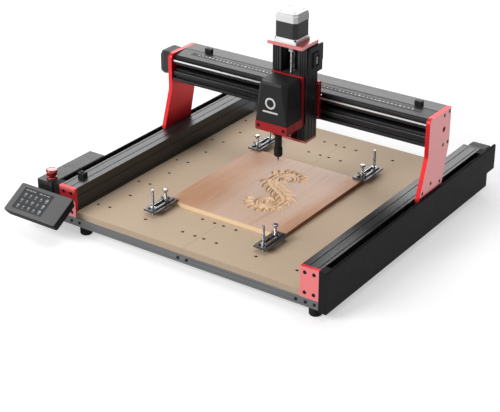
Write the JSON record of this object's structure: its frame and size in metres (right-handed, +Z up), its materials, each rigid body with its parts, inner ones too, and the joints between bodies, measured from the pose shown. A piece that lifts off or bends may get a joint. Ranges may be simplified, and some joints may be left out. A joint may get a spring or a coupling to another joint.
{
  "type": "cnc router",
  "caption": "Desktop gantry router with a timber-topped bed, slotted side covers, a travelling gantry, a vertical spindle head, a tilted touch panel and a stop button.",
  "frame": {"origin": "middle of the base's bounding box, on the surface the feet stand on", "axes": "+X to the right as the operator sees it from the front, +Y from the front towards the motors, +Z up"},
  "size_m": [0.7735, 0.81, 0.47],
  "materials": {
    "anodised_black": "matt black anodised aluminium",
    "anodised_red": "red anodised aluminium",
    "anodised_grey": "grey anodised aluminium",
    "bare_aluminium": "bare machined aluminium",
    "ground_steel": "ground steel",
    "dark_screw": "black oxide steel",
    "bright_screw": "nickel plated steel",
    "motor_black": "black painted steel laminations",
    "cap_white": "white encoder cap",
    "sheet_grey": "dark grey powder coat",
    "board_mdf": "sanded fibreboard",
    "work_wood": "oiled hardwood",
    "black_plastic": "fine grained moulded plastic",
    "panel_plastic": "fine grained moulded plastic",
    "foot_rubber": "moulded rubber",
    "screen_glass": "lit display behind glass",
    "button_red": "glossy red plastic",
    "spindle_steel": "turned steel"
  },
  "bodies": {
    "base": {"front_beam": "anodised_grey", "cross_beams": "anodised_grey", "spoilboard_left": "board_mdf", "spoilboard_right": "board_mdf", "feet": "foot_rubber", "rail_left": "anodised_black", "rail_right": "anodised_black", "end_plates": "anodised_red", "cover_left": "anodised_black", "cover_right": "anodised_black", "y_guides": "ground_steel", "y_motors": "motor_black", "base_screws": "dark_screw", "y_limit_switch": "black_plastic", "control_box": "sheet_grey", "stop_socket": "bare_aluminium", "power_inlet": "black_plastic", "panel_bracket": "sheet_grey", "panel_case": "panel_plastic", "panel_glass": "screen_glass", "workpiece": "work_wood", "clamp_plates": "anodised_black", "clamp_rods": "bright_screw"},
    "gantry": {"gantry_plate_left": "anodised_red", "gantry_plate_right": "anodised_red", "gantry_beam": "anodised_black", "gantry_saddles": "anodised_grey", "y_guide_blocks": "ground_steel", "x_guides": "ground_steel", "x_motor": "motor_black", "x_limit_blocks": "black_plastic", "gantry_screws": "dark_screw"},
    "carriage": {"x_plate": "anodised_red", "x_guide_blocks": "ground_steel", "x_nut": "anodised_grey", "column": "anodised_black", "column_plates": "anodised_red", "z_guides": "ground_steel", "z_motor": "motor_black", "z_motor_cap": "cap_white", "cable_bracket": "black_plastic", "column_screws": "bright_screw"},
    "head": {"z_plate": "anodised_red", "z_saddle": "anodised_grey", "spindle_clamp": "anodised_red", "spindle_shroud": "black_plastic", "spindle_motor": "spindle_steel"},
    "spindle": {"spindle_nose": "ground_steel", "collet_nut": "dark_screw", "cutter": "ground_steel"},
    "y_screw_left": {"y_screw_left": "ground_steel"},
    "y_screw_right": {"y_screw_right": "ground_steel"},
    "x_screw": {"x_screw": "ground_steel"},
    "z_screw": {"z_screw": "ground_steel"},
    "stop_button": {"stop_button": "button_red"},
    "power_rocker": {"power_rocker": "button_red"},
    "wing_nut_front_left": {"wing_nut_front_left": "bright_screw"},
    "wing_nut_front_right": {"wing_nut_front_right": "bright_screw"},
    "wing_nut_rear_left": {"wing_nut_rear_left": "bright_screw"},
    "wing_nut_rear_right": {"wing_nut_rear_right": "bright_screw"}
  },
  "joints": [
    {"name": "gantry_travel", "type": "slide", "parent": "base", "child": "gantry", "axis": [0, 1, 0], "range_m": [-0.345, 0.18]},
    {"name": "carriage_travel", "type": "slide", "parent": "gantry", "child": "carriage", "axis": [1, 0, 0], "range_m": [-0.277, 0.223]},
    {"name": "head_travel", "type": "slide", "parent": "carriage", "child": "head", "axis": [0, 0, 1], "range_m": [-0.074, 0.016]},
    {"name": "spindle_spin", "type": "hinge", "parent": "head", "child": "spindle", "pos_m": [0.06475, -0.01202, 0.171], "axis": [0, 0, -1], "continuous": true},
    {"name": "y_screw_left_spin", "type": "hinge", "parent": "base", "child": "y_screw_left", "pos_m": [-0.27725, 0.01898, 0.073], "axis": [0, 1, 0], "continuous": true},
    {"name": "y_screw_right_spin", "type": "hinge", "parent": "base", "child": "y_screw_right", "pos_m": [0.35275, 0.01898, 0.073], "axis": [0, 1, 0], "continuous": true},
    {"name": "x_screw_spin", "type": "hinge", "parent": "gantry", "child": "x_screw", "pos_m": [0.03775, 0.14398, 0.237], "axis": [1, 0, 0], "continuous": true},
    {"name": "z_screw_spin", "type": "hinge", "parent": "carriage", "child": "z_screw", "pos_m": [0.06475, 0.03598, 0.29], "axis": [0, 0, 1], "continuous": true},
    {"name": "stop_press", "type": "slide", "parent": "base", "child": "stop_button", "axis": [0, 0, 1], "range_m": [-0.003, 0], "stiffness_N_per_m": 900, "springref_m": 0.001},
    {"name": "rocker_tilt", "type": "hinge", "parent": "base", "child": "power_rocker", "pos_m": [-0.33225, -0.15502, 0.0826], "axis": [1, 0, 0], "range_deg": [-8, 8], "stiffness_Nm_per_rad": 0.1},
    {"name": "wing_nut_front_left_turn", "type": "hinge", "parent": "base", "child": "wing_nut_front_left", "pos_m": [-0.10535, -0.19442, 0.072], "axis": [0, 0, 1], "continuous": true},
    {"name": "wing_nut_rear_left_turn", "type": "hinge", "parent": "base", "child": "wing_nut_rear_left", "pos_m": [-0.10535, 0.15558, 0.072], "axis": [0, 0, 1], "continuous": true},
    {"name": "wing_nut_front_right_turn", "type": "hinge", "parent": "base", "child": "wing_nut_front_right", "pos_m": [0.18085, -0.19442, 0.072], "axis": [0, 0, 1], "continuous": true},
    {"name": "wing_nut_rear_right_turn", "type": "hinge", "parent": "base", "child": "wing_nut_rear_right", "pos_m": [0.18085, 0.15558, 0.072], "axis": [0, 0, 1], "continuous": true}
  ],
  "couplings": [
    {"joint": "y_screw_left_spin", "follows": "gantry_travel", "rad_per_m": 1570.8},
    {"joint": "y_screw_right_spin", "follows": "gantry_travel", "rad_per_m": 1570.8},
    {"joint": "x_screw_spin", "follows": "carriage_travel", "rad_per_m": 1570.8},
    {"joint": "z_screw_spin", "follows": "head_travel", "rad_per_m": 1570.8}
  ]
}
